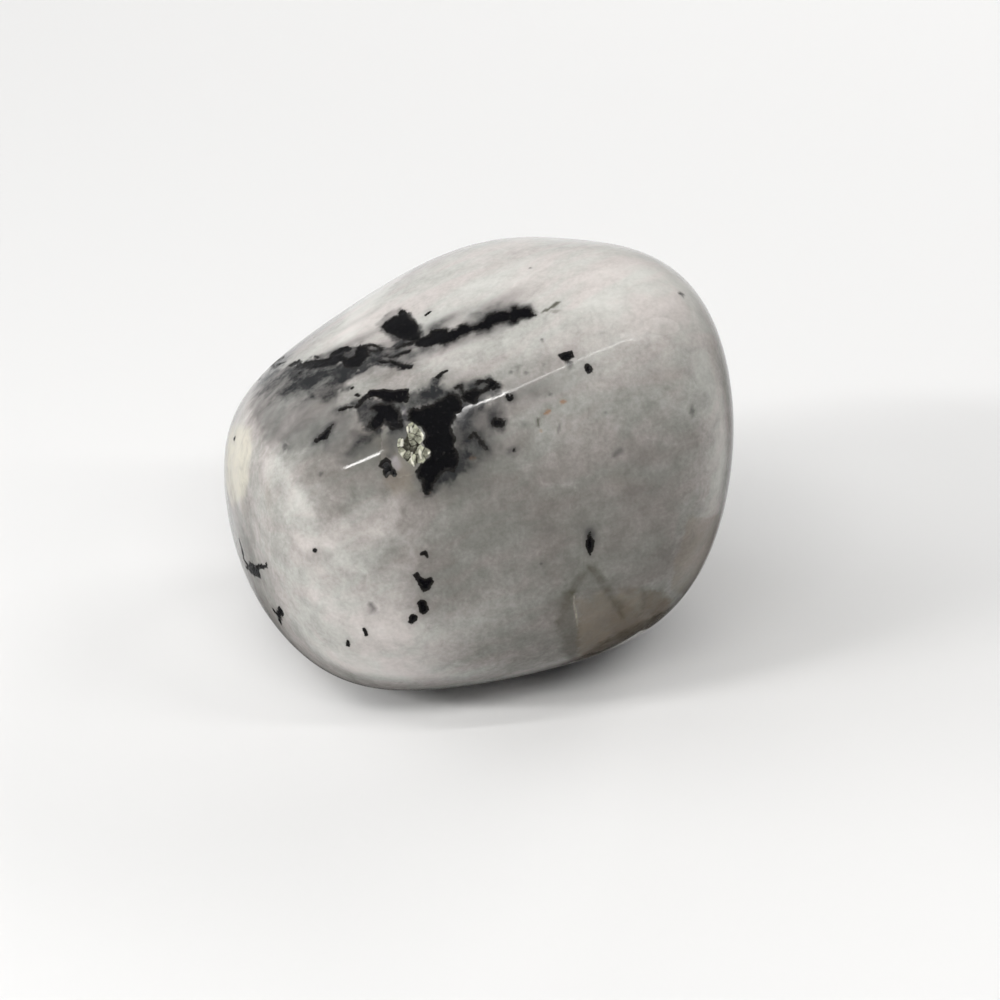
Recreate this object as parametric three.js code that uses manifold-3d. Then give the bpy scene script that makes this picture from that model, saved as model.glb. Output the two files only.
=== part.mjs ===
// A tumbled moonstone: one pebble of milky feldspar with black tourmaline grown through it. Tumbling has worn its
// broken faces into broad, gently crowned ones that roll into each other, and left shallow pits where the softer
// tourmaline met the skin. It stands on a small flat spot.
// Millimetres, +Z up. The origin is on the surface that the stone stands on, under the middle of its outline.
import * as THREE from "three";
import { mergeVertices } from "three/addons/utils/BufferGeometryUtils.js";
import Module from "manifold-3d";

// ---- driving dimensions ----
const HEART_HEIGHT = 12.6; // the heart is the point that the faces are measured from
const EDGE_SHARPNESS = 7; // how tightly the skin turns from one face to the next
const SKIN_DIVISIONS = 19; // cuts in each edge of the icosahedron that the skin starts from
const CUTTER_SIZE = 80; // wider than the stone

// The worn faces, each by the way it looks and its distance from the heart. Azimuth 0 is the front (-Y) and 90 the
// right (+X), elevation is above the horizon, both in degrees.
const FACES = {
  top: { azimuth: -66, elevation: 66, distance: 12.9 },
  topBackLeft: { azimuth: -124, elevation: 46, distance: 13.9 },
  frontShoulder: { azimuth: -4, elevation: 36, distance: 15.6 },
  front: { azimuth: 10, elevation: 2, distance: 14.6 },
  left: { azimuth: -85, elevation: 0, distance: 17.3 },
  frontLeft: { azimuth: -52, elevation: -12, distance: 17.8 },
  right: { azimuth: 84, elevation: -8, distance: 15.6 },
  rightShoulder: { azimuth: 98, elevation: 26, distance: 17.8 },
  back: { azimuth: 175, elevation: 5, distance: 14.0 },
  backShoulder: { azimuth: 155, elevation: 52, distance: 15.5 },
  foot: { azimuth: -150, elevation: -87, distance: 13.1 },
  rightHeel: { azimuth: 66, elevation: -40, distance: 16.3 },
  leftFlank: { azimuth: -80, elevation: -28, distance: 23.5 },
  leftHeel: { azimuth: -58, elevation: -50, distance: 18.9 },
  frontHeel: { azimuth: 20, elevation: -54, distance: 14 },
  backHeel: { azimuth: 180, elevation: -45, distance: 15.5 },
};

// Shallow pits and dips in the skin, by the way they look from the heart, their width and their depth.
const HOLLOWS = {
  tourmalinePit: { azimuth: -9, elevation: 38, width: 4.5, depth: 0.3 },
  tourmalineGroove: { azimuth: -48, elevation: 58, width: 5.5, depth: 0.2 },
  frontDip: { azimuth: 38, elevation: -14, width: 9.0, depth: 0.35 },
  leftDip: { azimuth: -60, elevation: 8, width: 7.0, depth: 0.25 },
  topDip: { azimuth: 120, elevation: 74, width: 8.0, depth: 0.25 },
  backDip: { azimuth: 205, elevation: 12, width: 9.0, depth: 0.4 },
  backPit: { azimuth: 160, elevation: -18, width: 4.0, depth: 0.3 },
  rightDip: { azimuth: 92, elevation: 6, width: 8.0, depth: 0.3 },
};

// The unit vector that looks along an azimuth and an elevation.
function looking({ azimuth, elevation }) {
  const turn = THREE.MathUtils.degToRad(azimuth);
  const rise = THREE.MathUtils.degToRad(elevation);
  return new THREE.Vector3(
    Math.sin(turn) * Math.cos(rise),
    -Math.cos(turn) * Math.cos(rise),
    Math.sin(rise),
  );
}

const faces = Object.values(FACES).map((face) => ({ ...face, normal: looking(face) }));
const hollows = Object.values(HOLLOWS).map((hollow) => ({ ...hollow, middle: looking(hollow) }));

// How far the skin lies from the heart in a direction: every face holds it in, most of all the nearest one.
function wornReach(direction) {
  let held = 0;
  for (const { normal, distance } of faces) {
    const lean = direction.dot(normal) / distance;
    if (lean > 0) held += lean ** EDGE_SHARPNESS;
  }
  return held ** (-1 / EDGE_SHARPNESS);
}

// How deep the hollows are in a direction, for a skin at that reach.
function hollowDepth(direction, reach) {
  let depth = 0;
  for (const hollow of hollows) {
    const away = direction.angleTo(hollow.middle) * reach;
    depth += hollow.depth * Math.exp(-((away / (hollow.width / 2)) ** 2));
  }
  return depth;
}

// The whole skin, before the foot is worn flat.
function pebbleGeometry() {
  const geometry = new THREE.IcosahedronGeometry(1, SKIN_DIVISIONS);
  geometry.deleteAttribute("normal");
  geometry.deleteAttribute("uv");
  const skin = mergeVertices(geometry);
  const points = skin.getAttribute("position");
  const direction = new THREE.Vector3();
  for (let i = 0; i < points.count; i++) {
    direction.fromBufferAttribute(points, i).normalize();
    const reach = wornReach(direction);
    direction.multiplyScalar(reach - hollowDepth(direction, reach));
    points.setXYZ(i, direction.x, direction.y, direction.z + HEART_HEIGHT);
  }
  return skin;
}

// What lies below the surface that the stone stands on.
function groundGeometry() {
  const ground = new THREE.BoxGeometry(CUTTER_SIZE, CUTTER_SIZE, CUTTER_SIZE);
  ground.translate(0, 0, -CUTTER_SIZE / 2);
  ground.deleteAttribute("normal");
  ground.deleteAttribute("uv");
  return mergeVertices(ground);
}

const wasm = await Module();
wasm.setup();

function toSolid(geometry) {
  return new wasm.Manifold(
    new wasm.Mesh({
      numProp: 3,
      vertProperties: geometry.getAttribute("position").array,
      triVerts: new Uint32Array(geometry.index.array),
    }),
  );
}

function toGeometry(solid) {
  const mesh = solid.getMesh();
  return new THREE.BufferGeometry()
    .setAttribute("position", new THREE.BufferAttribute(mesh.vertProperties, 3))
    .setIndex(new THREE.BufferAttribute(mesh.triVerts, 1));
}

// The pebble with its foot worn flat, moved so that its outline is centred on the origin.
function stoneGeometry() {
  const stone = toGeometry(toSolid(pebbleGeometry()).subtract(toSolid(groundGeometry())));
  stone.computeBoundingBox();
  const middle = stone.boundingBox.getCenter(new THREE.Vector3());
  stone.translate(-middle.x, -middle.y, 0);
  stone.computeVertexNormals();
  return stone;
}

const feldspar = new THREE.MeshStandardMaterial({ color: 0xc9c8c3, roughness: 0.12, metalness: 0 });
const moonstone = new THREE.Mesh(stoneGeometry(), feldspar);
moonstone.name = "moonstone";

const part = new THREE.Group();
part.add(moonstone);

export default part;
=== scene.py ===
"""A tumbled moonstone on a pale table: milky feldspar with black tourmaline and some mica grown through it.

The stone is one piece. Its skin passes through every corner of the CAD skin, and is finer. What is grown in
the stone is laid out on that skin as marks, and so are some painted shade, sheen and glints: each mark is a
shape on the skin, and gives every corner of the mesh a value that the stone's material reads.
"""

import math
import random
from dataclasses import dataclass

import bmesh
import bpy
import numpy as np
from mathutils import Matrix, Vector, noise
from mathutils.bvhtree import BVHTree


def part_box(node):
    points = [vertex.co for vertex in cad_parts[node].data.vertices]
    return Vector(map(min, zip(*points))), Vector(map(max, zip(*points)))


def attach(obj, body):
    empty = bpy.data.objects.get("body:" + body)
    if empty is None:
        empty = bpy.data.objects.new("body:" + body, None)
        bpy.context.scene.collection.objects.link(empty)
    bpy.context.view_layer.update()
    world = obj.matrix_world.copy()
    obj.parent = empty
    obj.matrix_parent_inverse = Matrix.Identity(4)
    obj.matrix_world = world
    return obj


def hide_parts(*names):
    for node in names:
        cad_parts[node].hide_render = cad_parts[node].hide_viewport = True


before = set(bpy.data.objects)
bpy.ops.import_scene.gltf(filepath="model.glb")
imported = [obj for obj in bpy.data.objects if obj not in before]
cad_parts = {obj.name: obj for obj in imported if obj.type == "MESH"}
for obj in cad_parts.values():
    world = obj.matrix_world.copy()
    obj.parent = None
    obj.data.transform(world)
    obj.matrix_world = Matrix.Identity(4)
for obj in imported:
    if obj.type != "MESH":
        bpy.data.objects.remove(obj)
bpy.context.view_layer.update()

MM = 0.001

# ---- the camera ----
PICTURE_PIXELS = 1000  # the picture is this wide and this high
CAMERA_LENS = 100  # both in millimetres
CAMERA_SENSOR = 36
CAMERA_RISE = math.radians(28)
CAMERA_DISTANCE = 178 * MM
CAMERA_AIM = Vector((1.7, 0.24, 10.2)) * MM
TOWARDS_CAMERA = Vector((0, -math.cos(CAMERA_RISE), math.sin(CAMERA_RISE)))
PICTURE_RIGHT = Vector((1, 0, 0))
PICTURE_UP = TOWARDS_CAMERA.cross(PICTURE_RIGHT)
CAMERA_PLACE = CAMERA_AIM + TOWARDS_CAMERA * CAMERA_DISTANCE
PIXEL = CAMERA_SENSOR / CAMERA_LENS / PICTURE_PIXELS  # the tangent of the angle that a pixel spans
PIXEL_ON_STONE = PIXEL * CAMERA_DISTANCE

# ---- the light: a light tent, a narrow strip lamp that the polish shows, and fills that it does not ----
LIGHT_TARGET = Vector((0, 0, 12)) * MM
LIGHT_COLOUR = (1.0, 0.985, 0.965)
STRIPS = {  # the two ends and the width, in millimetres, and the power
    "strip_left": ((-202, -172, 298), (-105, -160, 304), 14, 0.08),
    "strip_right": ((-105, -160, 304), (90, -138, 316), 5, 0.028),
    "ridge_fill": ((-202, -172, 298), (90, -138, 316), 14, 0.122),
    "left_fill": ((-700, -243, 243), (-250, -243, 243), 24, 2.1),
    "right_fill": ((200, -172, 298), (650, -172, 298), 24, 0.58),
}
PANEL_DISTANCE = 350 * MM
PANELS = {  # azimuth and elevation, the size in millimetres, and the power
    "left_panel": (-90, 30, 200, 120, 0.14),
    "right_panel": (130, 35, 200, 120, 0.38),
    "back_panel": (180, 22, 200, 120, 0.28),
    "front_panel": (0, 45, 250, 60, 0.54),
}
DOWN = Vector((0, 0, -1))
LEFT_WALL = Vector((-1, 0, 0.1)).normalized()
WALL_GLOW = 1.6
WALL_FOCUS = 2
TENT_GLOW = 0.01
GLOW_IN_POLISH = 0.1  # the share of the left wall's and the tent's glow that the polish shows
BACK_WALL = Vector((0, 0.96, -0.25)).normalized()  # only the polish shows this wall, down to the table
BACK_WALL_GLOW = 0.78
BACK_WALL_FOCUS = 8
STONE_SHADE = (0.49, 0.6)  # how steeply down the stone's own shade starts in the polish, and is full
TENT_COLOUR = (1.0, 1.0, 1.0, 1)

# ---- the table ----
TABLE_COLOUR = (0.76, 0.765, 0.77, 1)
TABLE_ROUGHNESS = 0.7
TABLE_SHINE = 0.1
TABLE_REACH = 1.5
SHADED_TABLE = ((-0.009, 0.012), (-0.003, 0.012))  # from left to right and from front to back

# ---- the stone's skin ----
BASE_SUBDIVISIONS = 7  # 81,920 triangles
REFINEMENTS = 3  # each halves the triangles' edges near crisp marks
SEAM_FINENESS = 1  # how many of them the edge of a pale mark gets
TOURMALINE_FINENESS = 2
MICA_FINENESS = 3
REFINED_MARGIN = 0.3  # millimetres around a crisp edge
CRISP = 0.12  # millimetres: a softer edge than this needs no refinement
FOOT_HEIGHT = 0.01 * MM  # corners of the CAD skin below this are on the flat foot
SKIN_BATCH = 4000  # places worked out at a time
PIT_DEPTH = 0.05 * MM
PIT_EDGE = 0.12  # millimetres over which a pit reaches its depth
PIT_SHARE = 0.75  # the share of its depth that a pit has in the middle of its unevenness
PIT_UNEVENNESS = 0.5
PIT_BUMPS = 3  # in a millimetre
CRACK_DEPTH = 0.03 * MM
CRACK_EDGE = 0.05  # millimetres over which a crack between mica plates reaches its depth
PLATE_TILT = 0.22  # the steepest slope of a mica plate
PLATE_PAINTED_SHEEN = 0.8  # a painted sheen: how much brighter a plate is for each millimetre that its slant takes it


def as_array(vector):
    return np.array(vector, dtype=float)


def unit(vectors):
    return vectors / np.linalg.norm(vectors, axis=-1, keepdims=True)


def smooth_step(low, high, value):
    share = np.clip((value - low) / (high - low), 0, 1)
    return share * share * (3 - 2 * share)


# ---------------------------------------------------------------- the skin
def cad_corners(node):
    corners = np.array([vertex.co for vertex in node.data.vertices], dtype=float)
    return np.unique(np.round(corners, 8), axis=0)


def gaps(some, others):
    """The straight distances between two lots of unit vectors."""
    return np.sqrt(np.maximum(2 - 2 * some @ others.T, 0))


class Skin:
    """The smooth skin through the corners of the CAD solid, as its distance from the middle each way."""

    def __init__(self, node):
        low, high = (as_array(corner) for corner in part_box(node.name))
        self.middle = (low + high) / 2
        corners = cad_corners(node)
        spokes = corners[corners[:, 2] > FOOT_HEIGHT] - self.middle
        reach = np.linalg.norm(spokes, axis=1)
        self.known = spokes / reach[:, None]
        self.mean = reach.mean()
        self.weights = np.linalg.solve(gaps(self.known, self.known) ** 3, reach - self.mean)

    def points(self, directions):
        reach = np.empty(len(directions))
        for start in range(0, len(directions), SKIN_BATCH):
            batch = slice(start, start + SKIN_BATCH)
            gap = gaps(directions[batch], self.known)
            reach[batch] = (gap * gap * gap) @ self.weights + self.mean
        places = self.middle + directions * reach[:, None]
        places[:, 2] = np.maximum(places[:, 2], 0)
        return places


def corner_places(mesh):
    return np.array([vertex.co for vertex in mesh.verts], dtype=float)


def refine(sphere, chosen):
    """Halves the edges of the sphere whose two corners are both chosen."""
    edges = [edge for edge in sphere.edges if chosen[edge.verts[0].index] and chosen[edge.verts[1].index]]
    bmesh.ops.subdivide_edges(sphere, edges=edges, cuts=1, use_grid_fill=True)
    bmesh.ops.triangulate(sphere, faces=[face for face in sphere.faces if len(face.verts) > 3])
    sphere.verts.index_update()
    for vertex in sphere.verts:
        vertex.co.normalize()


cad_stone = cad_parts["moonstone"]
skin = Skin(cad_stone)
cad_tree = BVHTree.FromPolygons(
    [vertex.co for vertex in cad_stone.data.vertices],
    [polygon.vertices for polygon in cad_stone.data.polygons],
)


# ---------------------------------------------------------------- ways of looking at the stone
class MainView:
    """What the camera sees. A spot is a pixel of the picture."""

    unit_size = PIXEL_ON_STONE
    right = PICTURE_RIGHT
    up = PICTURE_UP
    heart = (480, 465)  # near the middle of the stone in the picture
    steps = 100  # from a spot to the heart
    tries = 40

    def meet(self, spot):
        """The place on the stone that shows at a spot, and the way that the skin faces there. A spot just
        past the stone's edge gives the nearest place inside it."""
        for step in range(self.tries):
            x, y = (edge + (heart - edge) * step / self.steps for edge, heart in zip(spot, self.heart))
            right = (x - PICTURE_PIXELS / 2) * PIXEL
            up = (PICTURE_PIXELS / 2 - y) * PIXEL
            sight = (PICTURE_RIGHT * right + PICTURE_UP * up - TOWARDS_CAMERA).normalized()
            place, normal = cad_tree.ray_cast(CAMERA_PLACE, sight)[:2]
            if place:
                return as_array(place), as_array(normal)
        raise ValueError(f"no stone near pixel {spot}")


class SideView:
    """The stone seen from one side. A spot is in millimetres right of the stone's middle and up from it."""

    unit_size = MM

    def __init__(self, azimuth, elevation):
        turn, rise = math.radians(azimuth), math.radians(elevation)
        level = math.cos(rise)
        self.towards = Vector((math.sin(turn) * level, -math.cos(turn) * level, math.sin(rise)))
        self.right = Vector((math.cos(turn), math.sin(turn), 0))
        self.up = self.towards.cross(self.right)

    def meet(self, spot):
        start = Vector(skin.middle) + (self.right * spot[0] + self.up * spot[1]) * MM + self.towards
        place, normal = cad_tree.ray_cast(start, -self.towards)[:2]
        if not place:
            raise ValueError(f"no stone at {spot}")
        return as_array(place), as_array(normal)


MAIN = MainView()
LEFT_SIDE = SideView(-110, 15)
BACK_LEFT = SideView(-150, 20)
BACK = SideView(180, 10)
BACK_RIGHT = SideView(135, 15)
RIGHT_SIDE = SideView(95, 10)
UNDERSIDE = SideView(0, -60)
HIDDEN_SIDES = (LEFT_SIDE, BACK_LEFT, BACK, BACK_RIGHT, RIGHT_SIDE, UNDERSIDE)


# ---------------------------------------------------------------- marks
PATCH_MARGIN = 1  # millimetres outside its outline where a patch with a crisp edge may still show
SOFT_MARGIN = 1.2  # and how many times the width of a soft edge is added
PATCH_TURN = 0.1  # the cosine of the turn past which the skin faces too far away from the patch
NEARLY_UP = (0, 0.1, 1)  # never straight out of a patch
VEIL_FALL = 1.4  # how fast a veil thins out
EDGE_REACH = 0.6  # millimetres from an edge where it may wander
EDGE_GAIN = 1.6  # brings the wandering, which seldom comes to its full reach, up to it
WANDERS = ((0.7, 2.2), (0.5, 5.5), (0.3, 12))  # how far an edge wanders, and how often in a millimetre


@dataclass
class Patch:
    """An area of the skin inside an outline."""

    outline: list
    soft: float = 0.03  # millimetres over which its edge fades, each way
    ragged: float = 0.07  # millimetres that its edge wanders
    strength: float = 1.0
    kind: str = ""
    view: object = MAIN

    def depth(self, places, facing):
        """How far inside the outline each place lies, in metres, and negative outside it."""
        corners, normals = zip(*(self.view.meet(spot) for spot in self.outline))
        corners = np.array(corners)
        middle = corners.mean(axis=0)
        normal = unit(np.mean(normals, axis=0))
        across = unit(np.cross(NEARLY_UP, normal))
        upward = np.cross(normal, across)
        plane = np.stack([across, upward], axis=1)
        outline = (corners - middle) @ plane
        size = np.linalg.norm(outline, axis=1).max() + (PATCH_MARGIN + self.soft * SOFT_MARGIN) * MM
        near = (np.linalg.norm(places - middle, axis=1) < size) & (facing @ normal > PATCH_TURN)
        depth = np.full(len(places), -np.inf)
        depth[near] = depth_in_outline((places[near] - middle) @ plane, outline)
        return depth


@dataclass
class Trail:
    """A line of beads on the skin, joined up: (x, y, radius), all in the view's own units."""

    beads: list
    soft: float = 0.03
    ragged: float = 0.04
    strength: float = 1.0
    kind: str = ""
    view: object = MAIN

    def depth(self, places, facing):
        middles = np.array([self.view.meet(bead[:2])[0] for bead in self.beads])
        radii = np.array([bead[2] for bead in self.beads]) * self.view.unit_size
        return depth_in_beads(places, middles, radii)


@dataclass
class Veil:
    """A soft-edged oval on the skin: its middle, its half length and half width, and its turn in degrees
    from the view's right towards its top."""

    x: float
    y: float
    half_length: float
    half_width: float
    turn: float
    strength: float
    kind: str = ""
    view: object = MAIN

    def cover(self, places):
        middle, normal = self.view.meet((self.x, self.y))
        turn = math.radians(self.turn)
        right, up = as_array(self.view.right), as_array(self.view.up)
        length = unit(along_skin(right * math.cos(turn) + up * math.sin(turn), normal))
        width = np.cross(normal, length)
        spokes = places - middle
        half_length = self.half_length * self.view.unit_size
        half_width = self.half_width * self.view.unit_size
        thickness = (half_length + half_width) / 2
        away = (spokes @ length / half_length) ** 2 + (spokes @ width / half_width) ** 2
        away += (spokes @ normal / thickness) ** 2
        return self.strength * np.exp(-VEIL_FALL * away)


def made_of(kind, marks):
    for mark in marks:
        mark.kind = kind
    return marks


def seen_from(view, marks):
    for mark in marks:
        mark.view = view
    return marks


def along_skin(way, normal):
    return way - normal * (way @ normal)


def depth_in_outline(points, outline):
    nearest = np.full(len(points), np.inf)
    inside = np.zeros(len(points), dtype=bool)
    for start, end in zip(outline, np.roll(outline, -1, axis=0)):
        edge = end - start
        spoke = points - start
        along = np.clip(spoke @ edge / (edge @ edge), 0, 1)
        nearest = np.minimum(nearest, np.linalg.norm(spoke - along[:, None] * edge, axis=1))
        level = (start[1] > points[:, 1]) != (end[1] > points[:, 1])
        if edge[1]:
            inside ^= level & (points[:, 0] < start[0] + (points[:, 1] - start[1]) * edge[0] / edge[1])
    return np.where(inside, nearest, -nearest)


def depth_in_beads(places, middles, radii):
    depth = radii[0] - np.linalg.norm(places - middles[0], axis=1)
    for i in range(len(middles) - 1):
        link = middles[i + 1] - middles[i]
        spoke = places - middles[i]
        along = np.clip(spoke @ link / (link @ link), 0, 1)
        radius = radii[i] + along * (radii[i + 1] - radii[i])
        depth = np.maximum(depth, radius - np.linalg.norm(spoke - along[:, None] * link, axis=1))
    return depth


# The tourmaline, as it crops out on the ridge and the top.
CRYSTALS = made_of("tourmaline", [
    # the black mass on the ridge, with its arm to the right
    Patch([
        (408, 412), (412, 408), (419, 409), (424, 406), (432, 405), (436, 402), (441, 399), (447, 395),
        (452, 393), (457, 395), (461, 401), (463, 407), (460, 412), (456, 413), (454, 418), (452, 423),
        (451, 430), (453, 434), (455, 440), (454, 447), (457, 452), (459, 458), (458, 465), (454, 471),
        (449, 469), (445, 470), (440, 474), (437, 479), (434, 485), (432, 490), (428, 493), (425, 495),
        (422, 488), (423, 480), (418, 478), (416, 472), (420, 465), (424, 461), (430, 456), (430, 451),
        (425, 447), (423, 443), (426, 438), (424, 432), (421, 427), (416, 424), (410, 421), (408, 417),
    ]),
    Patch([
        (470, 390), (476, 389), (481, 390), (486, 387), (489, 384), (484, 383), (479, 384), (475, 384),
        (478, 380), (484, 379), (491, 379), (494, 381), (497, 381), (499, 388), (495, 391), (491, 389),
        (486, 392), (481, 394), (479, 396), (476, 399), (477, 402), (474, 405), (469, 403), (464, 402),
        (462, 397), (465, 392),
    ]),
    Trail([(456, 388, 0.8), (460, 385, 1), (463, 393, 1.2)]),
    # the flat crystals on its left
    Patch([
        (365, 395), (370, 390), (384, 389), (392, 390), (400, 389), (409, 389), (409, 395), (407, 403),
        (400, 403), (394, 402), (389, 404), (383, 403), (381, 398), (374, 397), (369, 399),
    ]),
    Trail([(357, 407, 1.6), (361, 402, 2.4), (366, 397, 2.6)]),
    Patch([
        (371, 408), (377, 403), (386, 404), (393, 404), (398, 409), (401, 414), (400, 420), (403, 427),
        (398, 431), (390, 429), (385, 421), (382, 427), (374, 430), (368, 426), (371, 419), (376, 413),
    ], ragged=0.12),
    # the streak over the top: its left half, its blob, and its right half
    Trail([(271, 370, 0.9), (276, 366, 1.6), (280, 364, 1.4), (286, 362, 0.7)]),
    Patch([
        (288, 366), (294, 362), (298, 361), (300, 358), (303, 363), (312, 361), (321, 359), (329, 358),
        (331, 353), (336, 350), (342, 348), (347, 345), (353, 348), (350, 351), (345, 352), (343, 356),
        (348, 359), (354, 356), (356, 350), (356, 347), (361, 344), (367, 346), (368, 351), (369, 356),
        (364, 361), (359, 366), (352, 368), (345, 367), (342, 361), (338, 363), (334, 365), (326, 367),
        (316, 368), (306, 369), (297, 370), (295, 367),
    ], ragged=0.13),
    Trail([(366, 346, 1.2), (372, 345, 1), (378, 347, 1.4), (381, 350, 1.6)]),
    Trail([(370, 351, 1.4), (377, 351, 1.6)]),
    Trail([
        (379, 361, 1.4), (384, 362, 2), (391, 362, 2.2), (398, 364, 2.4), (406, 367, 3), (411, 367, 2.4),
    ], ragged=0.1),
    Trail([(391, 357, 1.4), (398, 355, 2.6), (404, 353, 2.2), (409, 351, 1.6)], ragged=0.1),
    Trail([(386, 356, 1.4)]), Trail([(397, 348, 1.6), (404, 345, 2.4), (412, 343, 3)], ragged=0.08),
    Patch([
        (381, 327), (385, 322), (390, 319), (394, 316), (398, 316), (400, 310), (404, 310), (408, 314),
        (410, 319), (415, 320), (418, 325), (419, 332), (421, 338), (414, 342), (406, 340), (399, 338),
        (392, 334), (385, 331),
    ]),
    Patch([
        (418, 339), (426, 336), (430, 334), (431, 330), (438, 329), (448, 328), (449, 331), (456, 329),
        (460, 325), (466, 323), (470, 326), (476, 325), (482, 321), (487, 315), (496, 312), (505, 311),
        (511, 311), (512, 307), (516, 306), (520, 308), (529, 307), (532, 312), (537, 315), (530, 318),
        (519, 319), (518, 323), (511, 324), (508, 321), (500, 323), (494, 325), (490, 329), (483, 330),
        (475, 331), (469, 333), (462, 336), (456, 340), (450, 342), (444, 345), (438, 344), (432, 346),
        (424, 347), (416, 346), (413, 342),
    ]),
    Trail([(426, 315, 1.6), (430, 312, 1.6)]), Trail([(315, 356, 1.2), (318, 358, 1.8)]),
    # the crumbs around them
    Patch([
        (333, 424), (330, 433), (327, 439), (321, 441), (314, 443), (315, 440), (321, 434),
    ], ragged=0.02),
    Patch([
        (381, 461), (386, 458), (390, 461), (392, 467), (394, 470), (397, 474), (394, 477), (390, 473),
        (387, 477), (383, 476), (383, 470), (379, 466),
    ]),
    Patch([(558, 355), (565, 352), (572, 351), (574, 357), (568, 361), (562, 360)], ragged=0.03),
    Trail([(496, 423, 4.2), (500, 423, 4)]), Trail([(588, 367, 3), (589, 370, 3.2)]),
    Trail([(508, 397, 2.6), (510, 398, 2.8)]), Trail([(340, 410, 2), (345, 408, 1.8), (352, 407, 0.8)]),
    Trail([(471, 437, 2.2)]),
    Trail([(474, 434, 1.4), (478, 438, 1.8), (482, 444, 2.2), (487, 449, 1.2)]),
    Trail([(438, 377, 1.8), (442, 373, 1.6), (447, 371, 0.8)]), Trail([(352, 388, 1.6)]),
    Trail([(356, 395, 1.8), (359, 396, 1.2)]), Trail([(514, 450, 1.6)]),
    # the specks on the front
    Patch([
        (413, 575), (418, 572), (421, 577), (425, 579), (431, 577), (434, 581), (431, 586), (430, 590),
        (424, 592), (420, 588), (417, 582),
    ], ragged=0.04),
    Trail([(422, 604, 4.2), (424, 610, 4)]), Trail([(413, 618, 3.8), (411, 622, 2.2)]),
    Trail([(364, 629, 1.4), (366, 634, 1.8)]), Trail([(348, 641, 1.2), (348, 645, 1.8)]),
    Trail([(421, 554, 1.4), (425, 553, 2), (427, 556, 1.2)]), Trail([(315, 550, 2.4)]),
    Patch([(590, 532), (594, 541), (594, 547), (590, 556), (586, 548), (586, 541)], ragged=0.02),
    # those at the left edge
    Patch([
        (246, 567), (251, 562), (256, 566), (267, 563), (268, 568), (259, 570), (261, 578), (253, 575),
    ], ragged=0.14),
    Trail([(240, 542, 2.6), (242, 549, 4), (244, 559, 3.6), (249, 568, 4)], ragged=0.16),
    Trail([(275, 612, 3.2), (279, 617, 4), (281, 610, 3.6)], ragged=0.14),
    Trail([(279, 617, 4), (280, 622, 2.8)], ragged=0.14),
])

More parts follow.
